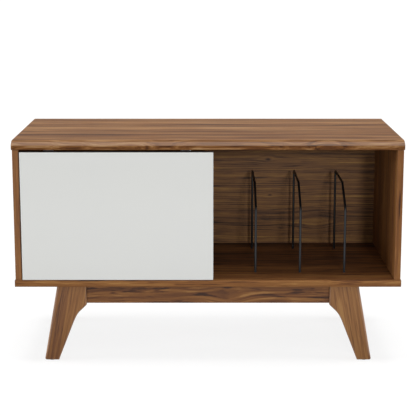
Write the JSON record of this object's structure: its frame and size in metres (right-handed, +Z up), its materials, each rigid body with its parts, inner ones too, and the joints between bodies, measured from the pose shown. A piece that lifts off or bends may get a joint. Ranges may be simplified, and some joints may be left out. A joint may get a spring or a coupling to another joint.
{
  "type": "record cabinet",
  "caption": "Low walnut record cabinet on splayed legs, with a white sliding door over one bay and bent black rods that divide the open bay into record slots.",
  "frame": {"origin": "middle of the cabinet's footprint, on the floor", "axes": "+Z up, -Y towards the front with the door, +X to the right as seen from the front"},
  "size_m": [0.99, 0.4, 0.583],
  "materials": {
    "walnut_top": "satin walnut veneer, grain along the width",
    "walnut_case": "satin walnut veneer",
    "walnut_back": "matt walnut veneer on thin board",
    "walnut_solid": "satin solid walnut",
    "plain_wood": "raw beech",
    "white_door": "satin white lacquer on board",
    "black_rod": "satin black powder coat on steel",
    "track_metal": "mill extrusion",
    "zinc_steel": "zinc plated",
    "white_nylon": "moulded nylon",
    "black_nylon": "moulded nylon",
    "foot_glide": "hard brown plastic"
  },
  "bodies": {
    "cabinet": {"top_panel": "walnut_top", "bottom_panel": "walnut_case", "left_side_panel": "walnut_case", "right_side_panel": "walnut_case", "centre_divider": "walnut_case", "back_panel": "walnut_back", "left_side_front_case_screw": "zinc_steel", "left_side_rear_case_screw": "zinc_steel", "right_side_front_case_screw": "zinc_steel", "right_side_rear_case_screw": "zinc_steel", "divider_front_case_screw": "zinc_steel", "divider_rear_case_screw": "zinc_steel", "left_side_front_dowel": "plain_wood", "left_side_rear_dowel": "plain_wood", "right_side_front_dowel": "plain_wood", "right_side_rear_dowel": "plain_wood", "divider_front_dowel": "plain_wood", "divider_rear_dowel": "plain_wood", "record_divider_1": "black_rod", "record_divider_2": "black_rod", "record_divider_3": "black_rod", "door_track": "track_metal", "left_track_stop": "black_nylon", "right_track_stop": "black_nylon", "left_track_screw": "zinc_steel", "right_track_screw": "zinc_steel", "floor_guide": "black_nylon", "front_left_leg": "walnut_solid", "front_right_leg": "walnut_solid", "rear_left_leg": "walnut_solid", "rear_right_leg": "walnut_solid", "front_left_glide": "foot_glide", "front_right_glide": "foot_glide", "rear_left_glide": "foot_glide", "rear_right_glide": "foot_glide", "front_left_corner_block": "plain_wood", "front_right_corner_block": "plain_wood", "rear_left_corner_block": "plain_wood", "rear_right_corner_block": "plain_wood", "front_left_block_screw": "zinc_steel", "front_right_block_screw": "zinc_steel", "rear_left_block_screw": "zinc_steel", "rear_right_block_screw": "zinc_steel", "front_apron": "walnut_solid", "rear_apron": "walnut_solid", "left_side_rail": "walnut_solid", "right_side_rail": "walnut_solid"},
    "door": {"door_panel": "white_door", "left_hanger_bracket": "zinc_steel", "left_hanger_lower_screw": "zinc_steel", "left_hanger_upper_screw": "zinc_steel", "right_hanger_bracket": "zinc_steel", "right_hanger_lower_screw": "zinc_steel", "right_hanger_upper_screw": "zinc_steel"},
    "left_wheels": {"left_hanger_axle": "zinc_steel", "left_hanger_front_wheel": "white_nylon", "left_hanger_rear_wheel": "white_nylon"},
    "right_wheels": {"right_hanger_axle": "zinc_steel", "right_hanger_front_wheel": "white_nylon", "right_hanger_rear_wheel": "white_nylon"}
  },
  "joints": [
    {"name": "door_slide", "type": "slide", "parent": "cabinet", "child": "door", "axis": [1, 0, 0], "range_m": [0, 0.4613]},
    {"name": "left_wheels_roll", "type": "hinge", "parent": "door", "child": "left_wheels", "pos_m": [-0.4046, -0.17, 0.5644], "axis": [0, 1, 0], "range_deg": [0, 5090]},
    {"name": "right_wheels_roll", "type": "hinge", "parent": "door", "child": "right_wheels", "pos_m": [-0.0567, -0.17, 0.5644], "axis": [0, 1, 0], "range_deg": [0, 5090]}
  ],
  "couplings": [
    {"joint": "left_wheels_roll", "follows": "door_slide", "rad_per_m": 192.31},
    {"joint": "right_wheels_roll", "follows": "door_slide", "rad_per_m": 192.31}
  ]
}
